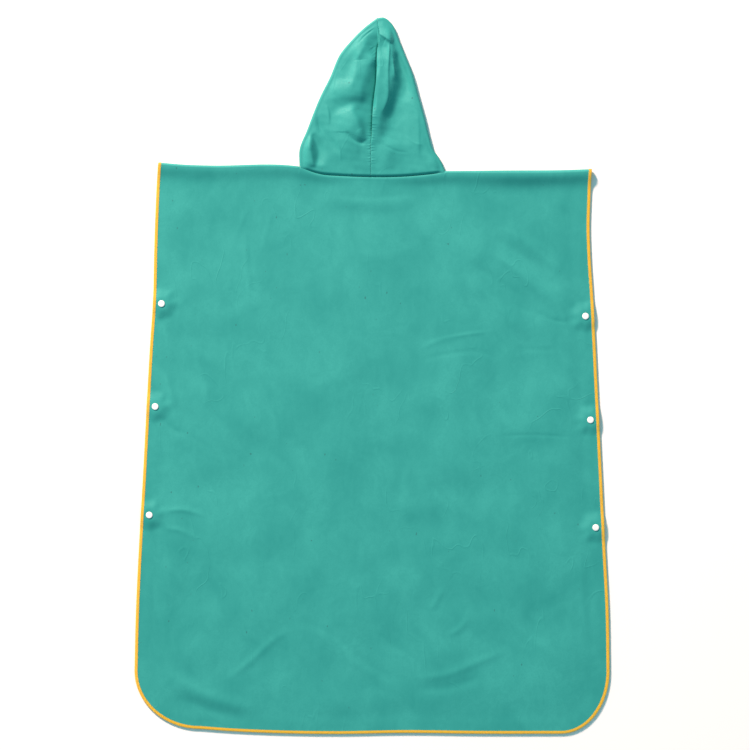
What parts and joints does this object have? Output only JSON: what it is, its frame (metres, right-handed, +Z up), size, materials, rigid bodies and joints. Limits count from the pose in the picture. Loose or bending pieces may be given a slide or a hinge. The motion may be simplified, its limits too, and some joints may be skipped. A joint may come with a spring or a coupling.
{
  "type": "surf poncho",
  "caption": "Hooded surf poncho of thin teal micro-suede with orange overlocked edges, laid flat on its front with both sides snapped shut.",
  "frame": {"origin": "middle of the outline, on the surface that the poncho lies on", "axes": "+X across the poncho to the right as its back is seen, +Y from the hem to the hood, +Z up from the surface"},
  "size_m": [0.8819, 1.3298, 0.028],
  "materials": {
    "suede": "short brushed nap",
    "thread": "overlock stitches",
    "snap": "moulded"
  },
  "bodies": {
    "root": {"back_panel": "suede", "front_panel": "suede", "hood_left": "suede", "hood_right": "suede", "back_edging": "thread", "front_edging": "thread", "snap_left_1_back_cap": "snap", "snap_left_1_socket": "snap", "snap_left_1_front_cap": "snap", "snap_left_2_back_cap": "snap", "snap_left_2_socket": "snap", "snap_left_2_front_cap": "snap", "snap_left_3_back_cap": "snap", "snap_left_3_socket": "snap", "snap_left_3_front_cap": "snap", "snap_right_1_back_cap": "snap", "snap_right_1_socket": "snap", "snap_right_1_front_cap": "snap", "snap_right_2_back_cap": "snap", "snap_right_2_socket": "snap", "snap_right_2_front_cap": "snap", "snap_right_3_back_cap": "snap", "snap_right_3_socket": "snap", "snap_right_3_front_cap": "snap"}
  },
  "joints": []
}
